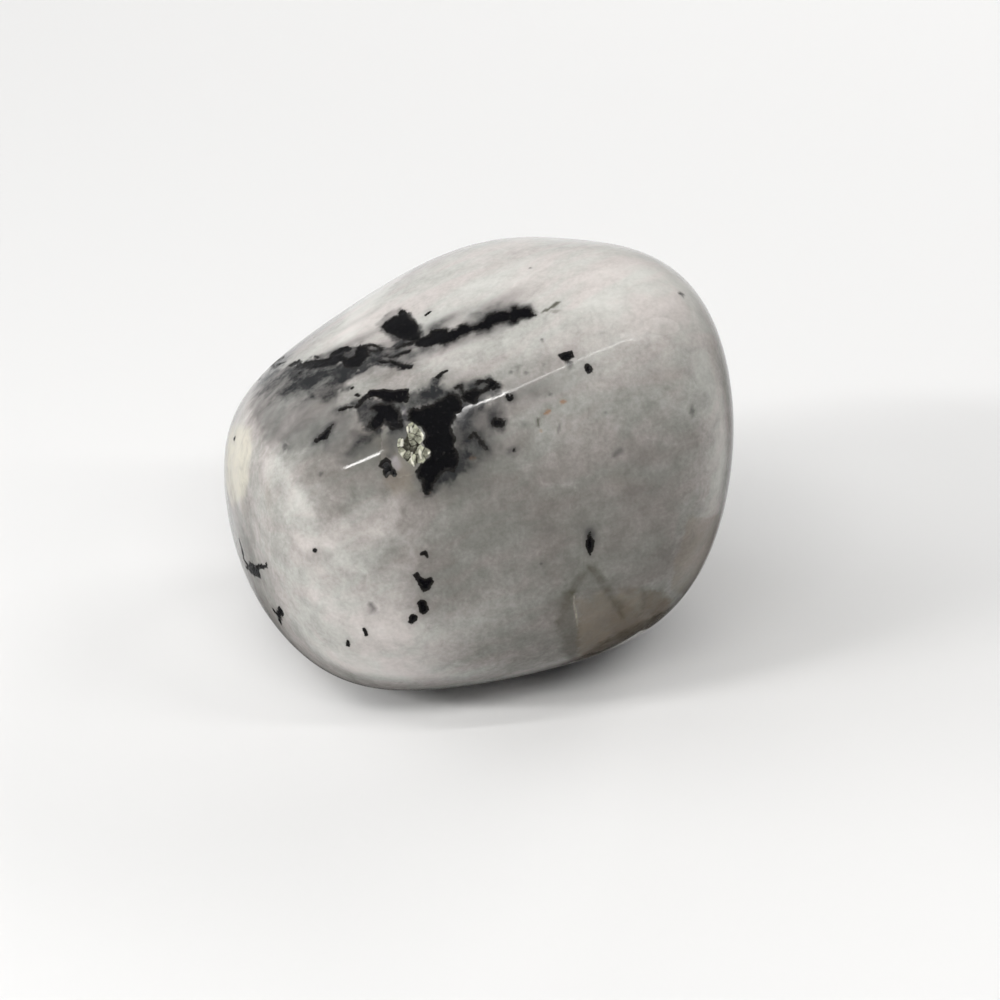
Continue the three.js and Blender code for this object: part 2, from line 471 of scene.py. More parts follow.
# Where tourmaline is spread so finely through the feldspar that it only darkens it.
SMOKE = made_of("smoke", [
    # below the left half of the streak
    Patch([
        (262, 376), (285, 366), (330, 362), (367, 366), (368, 371), (358, 374), (349, 380), (343, 389),
        (338, 400), (352, 412), (362, 424), (368, 440), (350, 448), (320, 452), (290, 454), (262, 440),
        (250, 415), (252, 392),
    ], soft=0.6, ragged=0.5, strength=0.5),
    Patch([
        (266, 374), (290, 367), (330, 364), (367, 366), (368, 370), (357, 374), (348, 380), (342, 389),
        (336, 396), (318, 400), (300, 398), (284, 402), (270, 400), (258, 390),
    ], soft=0.3, ragged=0.5, strength=0.5),
    Patch([
        (290, 367), (330, 363), (366, 364), (364, 370), (352, 373), (340, 380), (326, 374), (312, 380),
        (300, 382), (288, 378), (278, 376),
    ], soft=0.25, ragged=0.3, strength=0.78),
    Trail([(283, 381, 4), (280, 390, 3)], soft=0.2, ragged=0.2, strength=0.35),
    Trail([(312, 386, 6), (308, 396, 5)], soft=0.25, ragged=0.3, strength=0.4),
    Trail([(300, 388, 3), (296, 402, 3), (292, 412, 2)], soft=0.2, ragged=0.2, strength=0.3),
    # among the parts of the streak
    Patch([
        (340, 360), (344, 350), (356, 346), (366, 344), (382, 346), (384, 362), (366, 370), (346, 370),
    ], soft=0.1, ragged=0.15, strength=0.75),
    Patch([
        (368, 348), (381, 348), (392, 346), (398, 342), (406, 338), (420, 340), (416, 347), (412, 352),
        (412, 369), (392, 368), (378, 366), (368, 362),
    ], soft=0.14, ragged=0.15, strength=0.72),
    Patch([
        (410, 346), (436, 346), (446, 344), (440, 352), (422, 356), (414, 362), (409, 356),
    ], soft=0.35, ragged=0.2, strength=0.45),
    Patch([
        (376, 326), (384, 316), (390, 311), (400, 308), (412, 316), (422, 326), (422, 344), (400, 344),
        (384, 334),
    ], soft=0.14, ragged=0.16, strength=0.5),
    Patch([
        (456, 328), (470, 314), (490, 306), (512, 302), (532, 304), (536, 316), (500, 330), (478, 336),
    ], soft=0.35, ragged=0.2, strength=0.42),
    Veil(496, 303, 34, 12, 18, 0.4), Veil(470, 338, 60, 9, 18, 0.45), Veil(392, 342, 40, 10, 0, 0.25),
    Veil(442, 322, 26, 10, 15, 0.7), Veil(336, 350, 26, 10, 15, 0.5), Veil(330, 374, 56, 10, 0, 0.5),
    Veil(360, 372, 34, 8, 0, 0.45), Veil(405, 342, 40, 8, 0, 0.35), Veil(404, 434, 12, 12, 0, 0.5),
    Veil(540, 394, 44, 12, 20, 0.2), Veil(355, 322, 24, 8, 15, 0.25), Veil(352, 343, 50, 8, 15, 0.35),
    Veil(455, 447, 22, 12, 0, 0.2), Veil(500, 446, 22, 14, 0, 0.2), Veil(382, 446, 26, 10, 0, 0.3),
    Veil(420, 352, 26, 8, 10, 0.3),
    # around the black mass
    Patch([
        (408, 402), (410, 394), (420, 388), (430, 382), (438, 378), (440, 384), (442, 393), (438, 400),
        (428, 405), (412, 408),
    ], soft=0.3, ragged=0.3, strength=0.75),
    Patch([
        (440, 392), (456, 386), (470, 382), (488, 378), (500, 382), (498, 392), (486, 396), (480, 410),
        (466, 416), (456, 414),
    ], soft=0.25, ragged=0.2, strength=0.6),
    Patch([
        (352, 400), (366, 396), (384, 398), (404, 402), (406, 408), (402, 412), (404, 424), (404, 432),
        (392, 432), (386, 424), (380, 430), (366, 430), (358, 420), (356, 410),
    ], soft=0.2, ragged=0.25, strength=0.94),
    Patch([
        (368, 428), (374, 417), (382, 411), (394, 412), (406, 414), (407, 420), (398, 424), (392, 430),
        (386, 426), (380, 424), (374, 429),
    ], soft=0.08, ragged=0.12, strength=0.85),
    Patch([
        (458, 384), (472, 380), (490, 377), (501, 382), (501, 392), (490, 396), (481, 400), (480, 412),
        (468, 414), (460, 406),
    ], soft=0.15, ragged=0.15, strength=0.6),
    Patch([
        (450, 414), (462, 410), (480, 404), (500, 398), (506, 410), (498, 436), (486, 456), (470, 474),
        (450, 484), (432, 492), (428, 480), (452, 468), (458, 450), (448, 430),
    ], soft=0.7, ragged=0.4, strength=0.6),
    Patch([
        (452, 424), (464, 422), (470, 440), (468, 464), (456, 476), (440, 482), (450, 468), (456, 448),
    ], soft=0.35, ragged=0.25, strength=0.4),
    Trail([
        (460, 412, 5), (460, 430, 6), (462, 448, 6), (458, 470, 5), (446, 478, 4),
    ], soft=0.3, ragged=0.25, strength=0.6),
    Trail([(461, 444, 2.2), (461, 452, 2.6)], soft=0.12, ragged=0.1, strength=0.5),
    Trail([(462, 408, 6), (463, 424, 8), (461, 440, 6)], soft=0.2, ragged=0.15, strength=0.7),
    Trail([(408, 404, 4), (406, 418, 4)], soft=0.15, ragged=0.12, strength=0.6),
    Trail([(398, 430, 5), (392, 442, 6), (394, 452, 3)], soft=0.3, ragged=0.2, strength=0.5),
    Trail([(376, 432, 4), (362, 443, 5), (350, 452, 4)], soft=0.3, ragged=0.15, strength=0.6),
    Veil(444, 392, 34, 14, 20, 0.3), Veil(515, 392, 40, 14, 15, 0.25),
    Trail([(420, 474, 3), (424, 482, 2)], soft=0.15, ragged=0.1, strength=0.7),
    Patch([
        (344, 452), (356, 444), (370, 432), (380, 432), (376, 444), (362, 456), (348, 466), (338, 462),
    ], soft=0.4, ragged=0.25, strength=0.45),
    Veil(470, 478, 34, 24, 0, 0.16), Veil(640, 470, 34, 46, -20, 0.12), Veil(590, 530, 10, 13, 0, 0.25),
    # faint specks below the skin
    Patch([(566, 361), (572, 361), (572, 369), (568, 371)], soft=0.08, strength=0.6),
    Trail([(285, 446, 2.5), (284, 450, 2.5)], soft=0.12, strength=0.5),
    Trail([(321, 474, 2.4)], soft=0.08, strength=0.5), Trail([(464, 424, 2.4)], soft=0.06, strength=0.75),
    Trail([(681, 294, 3)], soft=0.06, strength=0.8),
    Trail([(692, 408, 1.8), (692, 412, 2)], soft=0.06, strength=0.7),
    Trail([(530, 268, 1.8)], soft=0.06, strength=0.7), Trail([(542, 340, 1.3)], soft=0.05, strength=0.9),
    Trail([(371, 604, 2.8), (373, 610, 2.8)], soft=0.14, strength=0.8),
    Trail([(511, 372, 1.6)], soft=0.08, strength=0.6),
    Trail([(512, 368, 1), (521, 366, 1.2)], soft=0.12, strength=0.4),
    Trail([(526, 373, 2)], soft=0.08, strength=0.6), Trail([(517, 371, 2)], soft=0.14, strength=0.3),
    Trail([(544, 364, 1.8)], soft=0.08, strength=0.4), Trail([(550, 394, 1.5)], soft=0.06, strength=0.7),
    Trail([(524, 424, 3)], soft=0.12, strength=0.3),
    Trail([(560, 424, 1), (558, 432, 1)], soft=0.06, strength=0.35),
    Trail([(489, 437, 1.4)], soft=0.06, strength=0.5),
    Trail([(621, 450, 3), (614, 456, 2)], soft=0.12, strength=0.45),
    Trail([(606, 413, 1.6)], soft=0.08, strength=0.4), Trail([(542, 564, 1.4)], soft=0.04, strength=0.7),
])

# Milky clouds are above 0 and clear grey feldspar is below. The milk also carries painted light: painted
# sheen and reflections along the edges, and painted shade low down near the table.
CLOUDS = made_of("milk_and_painted_light", [
    # the clear grey front against the milky top is partly painted shade, on the side turned from the lamps
    Veil(545, 540, 215, 150, 15, -0.6), Veil(570, 470, 80, 50, 0, 0.13), Veil(540, 262, 230, 60, 8, 0.34),
    Veil(540, 240, 150, 40, 4, 0.35), Veil(690, 290, 60, 40, -50, 0.3), Veil(620, 300, 100, 45, 10, 0.28),
    Veil(480, 360, 90, 24, 15, -0.12), Veil(400, 440, 120, 60, 0, -0.12), Veil(480, 410, 60, 50, 0, -0.1),
    Veil(340, 335, 80, 30, 30, 0.2), Veil(390, 625, 120, 50, -10, 0.34), Veil(500, 590, 60, 50, 0, 0.12),
    Veil(690, 520, 30, 60, 0, 0.12), Veil(350, 420, 90, 50, 0, -0.14), Veil(390, 570, 30, 50, 0, 0.15),
    # the first veil here, along the lower left edge, is a painted reflection of the table
    Veil(395, 668, 60, 22, 0, 0.4), Veil(250, 550, 40, 90, 0, -0.22), Veil(260, 620, 40, 40, 0, -0.2),
    # the last two veils here, low at the right and at the bottom, are painted shade near the table
    Veil(390, 460, 70, 30, 0, -0.25), Veil(610, 630, 70, 46, 15, -0.35), Veil(500, 650, 60, 40, 0, -0.2),
    # the last two veils here, along the right edge, are a painted sheen
    Veil(680, 500, 50, 90, 0, -0.22), Veil(722, 450, 16, 90, 0, 0.5), Veil(704, 520, 18, 100, -8, 0.2),
    Veil(615, 272, 70, 22, 12, 0.22), Veil(236, 460, 14, 70, 0, 0.3), Veil(258, 545, 20, 60, 0, 0.15),
    Veil(318, 645, 40, 16, -35, 0.22), Veil(332, 432, 18, 18, 0, 0.18), Veil(500, 548, 50, 22, 0, 0.1),
    Veil(430, 610, 30, 26, 0, -0.22), Veil(430, 490, 60, 22, 0, -0.13), Veil(345, 472, 50, 18, -10, -0.14),
    Veil(330, 518, 56, 22, 10, -0.14), Veil(280, 492, 14, 26, 20, -0.25), Veil(640, 436, 40, 60, 0, -0.08),
    # the last two veils here, low at the right and at the bottom, are painted shade near the table
    Veil(605, 600, 24, 20, 0, -0.06), Veil(620, 640, 60, 26, 20, -0.2), Veil(510, 668, 50, 22, 0, -0.05),
    # the first two veils here are a painted reflection of the table along the lower edge, and the last is a
    # painted sheen on the right edge
    Veil(390, 676, 70, 14, 0, 0.35), Veil(460, 676, 40, 16, 0, 0.2), Veil(700, 570, 26, 60, -15, 0.24),
    # the first veil here is a painted sheen along the right edge
    Veil(706, 430, 12, 50, 0, 0.14), Veil(330, 398, 16, 12, 0, -0.15), Veil(256, 596, 12, 30, 0, 0.15),
    # the first veil here is a painted sheen along the left edge
    Veil(232, 450, 8, 60, 0, 0.3), Veil(340, 670, 24, 12, -20, -0.15), Veil(450, 600, 34, 30, 0, -0.12),
    Patch([
        (260, 456), (280, 458), (300, 488), (318, 520), (330, 548), (300, 550), (285, 522), (270, 492),
    ], soft=0.3, ragged=0.12, strength=0.2),
    Patch([
        (298, 470), (330, 466), (360, 488), (352, 512), (328, 524), (312, 500),
    ], soft=0.4, ragged=0.15, strength=-0.13),
    Patch([
        (345, 548), (356, 538), (372, 535), (392, 538), (405, 548), (404, 560), (392, 570), (372, 572),
        (354, 566),
    ], soft=0.2, ragged=0.15, strength=-0.13),
    Patch([
        (330, 520), (372, 500), (408, 486), (405, 500), (397, 520), (388, 545), (370, 575), (335, 565),
        (322, 530),
    ], soft=0.25, ragged=0.15, strength=0.2),
    Patch([
        (420, 352), (480, 342), (540, 330), (566, 328), (560, 350), (520, 362), (480, 374), (440, 376),
        (424, 370),
    ], soft=0.5, ragged=0.15, strength=0.16),
    Veil(388, 374, 30, 12, 0, -0.25),
    Patch([
        (648, 440), (668, 430), (690, 450), (690, 520), (668, 540), (650, 500),
    ], soft=0.6, ragged=0.2, strength=0.06),
])

STAIN_AND_SHADE_COLOURS = {
    "cream": (0.66, 0.63, 0.53, 1),
    "beige": (0.210, 0.172, 0.132, 1),
    # partly the stone's brown, and partly painted shade under its lower edge
    "umber_and_underside_shade": (0.050, 0.040, 0.030, 1),
    "olive": (0.060, 0.058, 0.040, 1),
    "rust": (0.26, 0.11, 0.035, 1),
    "lilac": (0.38, 0.36, 0.39, 1),
}

# Stains in the feldspar, and its crisp inner edges. The umber along the lower right edge is partly painted
# shade, and the crack's pale line is a painted glint.
STAINS_AND_PAINTED_LIGHT = [
    *made_of("cream", [
        Patch([
            (232, 424), (250, 430), (252, 450), (249, 478), (245, 496), (231, 506), (226, 470),
        ], soft=0.35, ragged=0.12, strength=0.7),
    ]),
    *made_of("beige", [
        Veil(243, 508, 10, 14, 0, 0.3), Veil(268, 492, 7, 22, 0, 0.25),
        Patch([
            (574, 600), (578, 612), (578, 630), (577, 655), (574, 668), (600, 668), (640, 650), (668, 622),
            (672, 600), (650, 592), (630, 588), (612, 596), (602, 588), (590, 600),
        ], soft=0.3, ragged=0.25, strength=0.55),
        Patch([
            (577, 624), (600, 622), (610, 632), (606, 650), (580, 660), (576, 640),
        ], soft=0.12, ragged=0.15, strength=0.4),
        Patch([
            (612, 612), (626, 606), (640, 614), (642, 630), (624, 640), (612, 632),
        ], soft=0.15, ragged=0.2, strength=0.35),
        Patch([
            (650, 590), (668, 592), (670, 606), (656, 616), (646, 606),
        ], soft=0.12, ragged=0.15, strength=0.35),
        Patch([
            (720, 513), (688, 515), (684, 535), (674, 560), (670, 590), (690, 598), (712, 560),
        ], soft=0.1, ragged=0.1, strength=0.42),
        Patch([
            (378, 442), (392, 436), (398, 450), (408, 462), (415, 470), (412, 492), (392, 496), (384, 480),
        ], soft=0.3, ragged=0.15, strength=0.4),
        Veil(372, 432, 14, 14, 0, 0.25), Veil(322, 402, 14, 9, 40, 0.16), Veil(713, 350, 10, 14, 0, 0.2),
        Veil(725, 388, 8, 16, 0, 0.2), Veil(670, 376, 14, 10, 0, 0.15), Veil(620, 480, 16, 12, 0, 0.12),
    ]),
    # the umber along the lower right edge, near the table, is partly painted shade
    *made_of("umber_and_underside_shade", [
        Patch([
            (560, 664), (584, 654), (600, 642), (618, 632), (640, 622), (660, 612), (674, 608), (676, 622),
            (640, 658), (600, 678), (560, 692), (536, 696), (540, 680),
        ], soft=0.35, ragged=0.2, strength=0.6),
        Patch([
            (612, 606), (626, 600), (640, 612), (642, 632), (630, 642), (616, 636), (606, 622),
        ], soft=0.3, ragged=0.25, strength=0.22),
        Patch([
            (640, 590), (660, 588), (668, 602), (656, 618), (644, 610),
        ], soft=0.3, ragged=0.2, strength=0.3),
    ]),
    *made_of("olive", [
        Patch([
            (558, 600), (567, 590), (574, 592), (576, 612), (577, 655), (572, 664), (562, 650), (556, 622),
        ], soft=0.25, ragged=0.15, strength=0.5),
        Trail([
            (590, 568, 3), (578, 580, 4), (571, 594, 4), (568, 606, 3),
        ], soft=0.25, ragged=0.15, strength=0.6),
        Trail([
            (590, 568, 3), (600, 580, 4), (611, 596, 3), (618, 608, 3), (624, 618, 2),
        ], soft=0.18, ragged=0.15, strength=0.65),
        Trail([(624, 589, 2.5), (630, 592, 2)], soft=0.15, ragged=0.1, strength=0.4),
        Trail([(642, 584, 2), (643, 600, 2.5), (641, 614, 2)], soft=0.18, ragged=0.12, strength=0.4),
        Trail([(558, 623, 4)], soft=0.25, ragged=0.1, strength=0.35), Veil(594, 600, 16, 20, 0, 0.14),
        Veil(462, 584, 13, 18, 0, 0.13), Veil(376, 553, 26, 14, 0, 0.07),
        Patch([
            (541, 313), (546, 309), (552, 306), (556, 302), (560, 301), (559, 305), (553, 308), (547, 311),
        ], soft=0.03, ragged=0.02, strength=1),
        Patch([(550, 311), (559, 309), (561, 311), (555, 314)], soft=0.06, ragged=0.02, strength=0.5),
        Trail([(384, 325, 3), (402, 325, 5)], soft=0.2, ragged=0.1, strength=0.35),
        Trail([(538, 420, 1.8), (538, 426, 1.4)], soft=0.05, strength=0.9),
    ]),
    *made_of("rust", [
        Trail([(562, 402, 1.8), (565, 401, 1)], soft=0.06, strength=0.8),
        Trail([(545, 414, 1), (549, 411, 1.8)], soft=0.06, strength=0.9),
        Trail([(541, 431, 1.2)], soft=0.06, strength=0.4),
        Trail([(428, 491, 2.6)], soft=0.06, strength=0.6),
        Trail([(470, 458, 1.6), (475, 458, 1.4)], soft=0.05, strength=0.6),
        Trail([(438, 340, 1.4), (444, 332, 1.4)], soft=0.06, strength=0.5),
    ]),
    *made_of("lilac", [
        Patch([
            (391, 459), (397, 456), (400, 462), (399, 470), (393, 469),
        ], soft=0.14, ragged=0.12, strength=0.55),
        Trail([(404, 408, 2), (405, 416, 2.5), (404, 422, 1.5)], soft=0.1, ragged=0.08, strength=0.5),
    ]),
    # the healed crack, shown by a painted glint along it
    *made_of("crack", [
        Trail([
            (574, 596, 0.7), (574, 604, 1), (576, 614, 1.3), (577, 622, 0.9), (576, 655, 0.4),
        ], soft=0.04),
    ]),
]

# Where the tourmaline lies just below the skin, so that its edges look soft.
SUNKEN = made_of("sunken", [
    Trail([(446, 336, 12), (480, 326, 14), (520, 313, 14)], soft=0.5, ragged=0.1, strength=0.9),
    Trail([(392, 322, 10), (408, 322, 12)], soft=0.4, ragged=0.1, strength=0.6),
    Trail([(372, 354, 10), (404, 358, 12)], soft=0.4, ragged=0.1, strength=0.5),
    Trail([(376, 412, 12), (396, 416, 12)], soft=0.4, ragged=0.1, strength=0.7),
    Trail([(300, 364, 8), (340, 358, 8)], soft=0.4, ragged=0.1, strength=0.3),
    Trail([(240, 548, 10), (250, 566, 12)], soft=0.4, ragged=0.1, strength=0.6),
    Trail([(279, 616, 12)], soft=0.4, ragged=0.1, strength=0.6),
    Trail([(430, 392, 14), (470, 392, 8)], soft=0.3, ragged=0.1, strength=0.4),
])

# Where the tourmaline is pitted, so that it shows no highlight.
PITTED = made_of("pitted", [
    Patch([
        (400, 424), (404, 398), (440, 384), (474, 376), (500, 374), (504, 390), (484, 398), (470, 406),
        (456, 410), (462, 450), (462, 474), (432, 498), (410, 478),
    ], soft=0.1, ragged=0.1),
    Trail([(560, 357, 8), (570, 355, 8)], soft=0.1), Trail([(508, 397, 7)], soft=0.1),
    Trail([(498, 423, 8)], soft=0.1),
])

# Where the polish is broken, so that the feldspar shows no highlight.
DULL_SPOTS = made_of("dull", [
    Patch([
        (381, 430), (404, 420), (420, 412), (446, 408), (448, 440), (440, 470), (400, 478), (381, 470),
    ], soft=0.03, ragged=0.06),
    Patch([
        (456, 398), (470, 394), (486, 389), (500, 386), (502, 394), (494, 397), (486, 399.5), (478, 402),
        (470, 405), (462, 408), (457, 411),
    ], soft=0.05, ragged=0.03, strength=0.9),
    Trail([(490, 404, 2.2)]), Trail([(507, 396, 2.4)]), Trail([(574, 361, 4)]), Trail([(595, 348, 1.4)]),
    Trail([(622, 336, 2.4)]), Veil(662, 326, 44, 22, 0, 0.95),
])


# ---- streaks, measured in their own thickness ----
STREAK_STEP = 1.2  # from one bead to the next
STREAK_WOBBLE = 0.35
STREAK_BEADS = (0.25, 1.0)
CRUMB_CHANCE = 0.6
CRUMB_REACH = 2
CRUMB_RADII = (0.1, 0.3)
STREAK_HALO = 2


def streak(spine, thickness, seed, smoke):
    """A ragged streak of tourmaline along a spine, with crumbs beside it and smoke around it."""
    draw = random.Random(seed)
    beads, crumbs = [], []
    for (x, y), (next_x, next_y) in zip(spine, spine[1:]):
        steps = max(2, round(math.dist((x, y), (next_x, next_y)) / thickness / STREAK_STEP))
        for step in range(steps):
            along = (x + (next_x - x) * step / steps, y + (next_y - y) * step / steps)
            spot = [coordinate + draw.gauss(0, STREAK_WOBBLE) * thickness for coordinate in along]
            beads.append((*spot, thickness * draw.uniform(*STREAK_BEADS)))
            if draw.random() < CRUMB_CHANCE:
                crumb = [coordinate + draw.gauss(0, CRUMB_REACH) * thickness for coordinate in along]
                crumbs.append(Trail([(*crumb, thickness * draw.uniform(*CRUMB_RADII))]))
    halo = [(x, y, thickness * STREAK_HALO) for x, y in spine]
    return [
        *made_of("tourmaline", [Trail(beads, ragged=0.12), *crumbs]),
        Trail(halo, soft=0.7, ragged=0.5, strength=smoke, kind="smoke"),
    ]


# On the sides that the main view doesn't show.
HIDDEN_MARKS = [
    # the streak over the top runs on round the left side
    *seen_from(LEFT_SIDE, [
        *streak([(3.4, 1.9), (1.2, 1.1), (-0.6, 0.2), (-2.6, -0.6)], 0.55, 3, 0.7),
        *streak([(-3.4, 2.2), (-5, 1.2), (-6, 1)], 0.4, 4, 0.5),
        *streak([(-1, -4.6), (0.4, -5.4)], 0.5, 5, 0.4),
        Patch([
            (8.4, -1.4), (6.4, -2), (5.4, -3.8), (6.2, -5.6), (8.4, -5.6),
        ], soft=0.35, ragged=0.2, strength=0.7, kind="cream"),
        Patch([
            (4, 2.6), (0, 1.6), (-4, -0.4), (-7, 0.4), (-6, 2.6), (-2, 3.4), (1, 3.6),
        ], soft=1.2, ragged=0.5, strength=0.4, kind="smoke"),
        Veil(2, -6, 9, 4, 10, 0.25, kind="milk_and_painted_light"), Veil(-2, 6, 7, 3, 20, 0.2, kind="milk_and_painted_light"),
        Veil(-3, -2, 4, 2.4, 0, -0.4, kind="milk_and_painted_light"), Veil(-6, -3, 2.5, 1.5, 40, 0.3, kind="beige"),
    ]),
    # a second band crops out on the back
    *seen_from(BACK, [
        Patch([
            (-2.6, 1.6), (-1.8, 2.4), (-0.6, 2.3), (0.3, 3), (1.2, 2.6), (1, 1.8), (1.9, 1.1), (1.4, 0.4),
            (0.4, 0.6), (-0.2, -0.2), (-1.1, -0.3), (-1.3, 0.6), (-2.3, 0.7),
        ], ragged=0.3, kind="tourmaline"),
        *streak([(1.6, 2.2), (3.6, 3.4), (5.6, 4.4), (7.4, 5.6)], 0.45, 6, 0.5),
        *streak([(-2.4, 0.8), (-4.4, -0.8), (-6.4, -1.6)], 0.5, 7, 0.6),
        *streak([(-5, 6.4), (-3, 7.4), (-1.4, 7.6)], 0.35, 8, 0.5),
        Patch([
            (-0.2, -1.8), (0.5, -1.5), (0.7, -2.2), (0.2, -2.9), (-0.3, -2.5),
        ], ragged=0.1, kind="tourmaline"),
        Patch([
            (-6, -2), (-3, 1), (0, 3), (4, 5), (7, 6), (6, 3.4), (2.6, 1), (0, -1.6), (-3, -3),
        ], soft=1.2, ragged=0.6, strength=0.5, kind="smoke"),
        Patch([
            (-9, 5), (-3, 6.6), (3, 7.6), (8, 8.4), (8, 6.6), (2, 5.2), (-4, 3.6), (-9, 2.8),
        ], soft=0.6, ragged=0.3, strength=0.3, kind="milk_and_painted_light"),
        Patch([
            (2, -1), (8, 1), (10, -3), (7, -8), (3, -6),
        ], soft=0.5, ragged=0.4, strength=-0.35, kind="milk_and_painted_light"),
        Veil(-6, 4, 6, 4, 20, 0.2, kind="milk_and_painted_light"), Veil(-3, -6, 8, 3.4, -10, 0.3, kind="milk_and_painted_light"),
        Veil(7, -1, 2, 1, 60, 0.35, kind="olive"), Veil(-8, -2, 3, 2, 30, 0.3, kind="beige"),
    ]),
    *seen_from(BACK_LEFT, [
        *streak([(6.4, -3), (5, -4), (3.6, -4.2)], 0.4, 9, 0.5), Veil(2, -3, 5, 3, 30, -0.3, kind="milk_and_painted_light"),
        Patch([
            (-1, -6.4), (2, -5.6), (3.4, -7.2), (1, -8.4), (-1.2, -7.8),
        ], soft=0.4, ragged=0.3, strength=0.5, kind="cream"),
    ]),
    # the clear corner at the right is stained
    *seen_from(RIGHT_SIDE, [
        Patch([
            (-10, -2), (-6, -2.6), (-2, -3.4), (1, -5), (4, -4.4), (5, -7), (0, -9.4), (-5, -9), (-9, -8),
        ], soft=0.5, ragged=0.4, strength=0.45, kind="beige"),
        Patch([
            (-5, -4), (-3, -4.4), (-1.4, -6.2), (-2, -8), (-4.4, -7),
        ], soft=0.4, ragged=0.3, strength=0.35, kind="olive"),
        Veil(-2, 1, 6, 5, 0, -0.3, kind="milk_and_painted_light"), Veil(4, 7, 6, 3, -10, 0.35, kind="milk_and_painted_light"),
        Patch([
            (1, -1.4), (6, 0.6), (9, 0), (8, -2.6), (3, -3.4),
        ], soft=0.4, ragged=0.3, strength=0.3, kind="milk_and_painted_light"),
        *streak([(0.6, 3.4), (2.6, 2.6), (4.4, 2.8), (6, 2)], 0.4, 10, 0.55),
        *streak([(-3, -0.6), (-2.2, -1.8)], 0.3, 12, 0.3),
        Trail([(-4.6, -4.2, 0.05), (-4, -5.6, 0.08), (-4.2, -7.4, 0.04)], kind="crack"),
    ]),
    *seen_from(BACK_RIGHT, [
        *streak([(-1.6, -5), (0.6, -4), (2.4, -4.4)], 0.45, 13, 0.5),
        Veil(2, -6, 6, 3, 10, 0.25, kind="milk_and_painted_light"),
    ]),
    *seen_from(UNDERSIDE, [
        Veil(2, 0, 7, 6, 30, 0.25, kind="milk_and_painted_light"),
        *streak([(4, -2.6), (6, -3.4), (7.4, -3.2)], 0.45, 14, 0.5),
        *streak([(-6, 1), (-7.6, 0.2)], 0.35, 15, 0.4), Veil(5, -1, 2.4, 1.2, -30, 0.35, kind="smoke"),
    ]),
]

# ---- specks ----
SPECK_SEED = 11
SPECKS_PER_SIDE = 7
SPECK_REACH = 8.5  # millimetres from the middle of the view
SPECK_RADII = (0.06, 0.2)
SPECK_LENGTH = 1.6  # in its own radius
SPECK_TAPER = 0.6


def scattered_specks():
    """A few small crystals on each hidden side, as the front has them."""
    draw = random.Random(SPECK_SEED)
    specks = []
    for view in HIDDEN_SIDES:
        for _ in range(SPECKS_PER_SIDE):
            turn = draw.uniform(0, math.tau)
            reach = SPECK_REACH * math.sqrt(draw.random())
            x, y = reach * math.cos(turn), reach * math.sin(turn)
            radius = draw.uniform(*SPECK_RADII)
            bend = draw.uniform(0, math.tau)
            length = radius * SPECK_LENGTH
            end = (x + math.cos(bend) * length, y + math.sin(bend) * length, radius * SPECK_TAPER)
            specks.append(Trail([(x, y, radius), end], ragged=0.05, kind="tourmaline", view=view))
    return specks


# ---- the mica: thin plates stacked at slight slants, with dark cracks between them; their brightness is partly painted sheen ----
MICA = Patch([
    (408, 424), (412, 422), (416, 425), (421, 430), (424, 435), (423, 440), (420, 444), (424, 447),
    (430, 450), (431, 452), (428, 457), (423, 463), (418, 463), (414, 467), (408, 463), (402, 457),
    (398, 452), (397, 445), (398, 439), (402, 437), (405, 440), (407, 434), (406, 428),
], ragged=0.03, kind="mica")
PLATES = {  # a spot in each plate, how bright it is, which is partly painted sheen, and the way that it slants: to the right and up
    (409, 428): (0.5, -0.3, 0.9),
    (415, 430): (0.5, -0.5, 0.4),
    (420, 433): (0.5, 0.8, 0.4),
    (418, 439): (0.5, 0.7, -0.3),
    (411, 437): (0.42, 0.2, 0.5),
    (413, 443): (0.4, 0.2, -0.6),
    (405, 438): (0.0, 0.2, -0.6),
    (407, 446): (0.12, 0.3, 0.6),
    (414, 448): (0.1, -0.4, 0.2),
    (400, 442): (0.6, -0.2, 0.7),
    (402, 452): (0.5, 0.6, -0.4),
    (408, 455): (0.34, 0.3, 0.4),
    (413, 459): (0.55, -0.2, 0.9),
    (419, 450): (0.55, 0.4, 0.7),
    (420, 458): (0.42, 0.4, -0.7),
    (427, 453): (0.46, 0.7, 0.3),
}
# painted glints: highlights on the mica plates, laid in as near-white colour
MICA_PAINTED_GLINTS = made_of("painted_mica_glint", [
    Trail([(422, 434, 1.4), (424, 438, 1.8)], soft=0.05),
    Trail([(407, 427, 0.8), (408, 433, 0.8)], soft=0.04),
    Trail([(411, 427, 0.7), (411, 432, 0.7)], soft=0.04),
    Trail([(402, 440, 1), (402, 445, 1.4)], soft=0.05),
    Trail([(402, 454, 1.6), (405, 451, 0.8)], soft=0.05),
    Trail([(412, 453, 0.6), (411, 459, 0.6), (414, 466, 0.8)], soft=0.04),
    Trail([(420, 450, 0.8), (420, 454, 1.6), (421, 458, 0.8)], soft=0.05),
    Trail([(429, 453, 1.6)], soft=0.05),
])

MARKS = [*CRYSTALS, *SMOKE, *CLOUDS, *STAINS_AND_PAINTED_LIGHT, *SUNKEN, *PITTED, *DULL_SPOTS, *HIDDEN_MARKS]
MARKS += [*scattered_specks(), MICA, *MICA_PAINTED_GLINTS]
CRISP_DEPTHS = {"tourmaline": TOURMALINE_FINENESS, "mica": MICA_FINENESS, "crack": TOURMALINE_FINENESS}
COVERS = ("smoke", "milk_and_painted_light", *STAIN_AND_SHADE_COLOURS, "sunken", "pitted", "dull", "painted_mica_glint")


def ragged_edge(place):
    """How far an edge wanders at a place, from -1 to 1."""
    spot = Vector(place) / MM
    return sum(far * noise.noise(spot * often) for far, often in WANDERS)


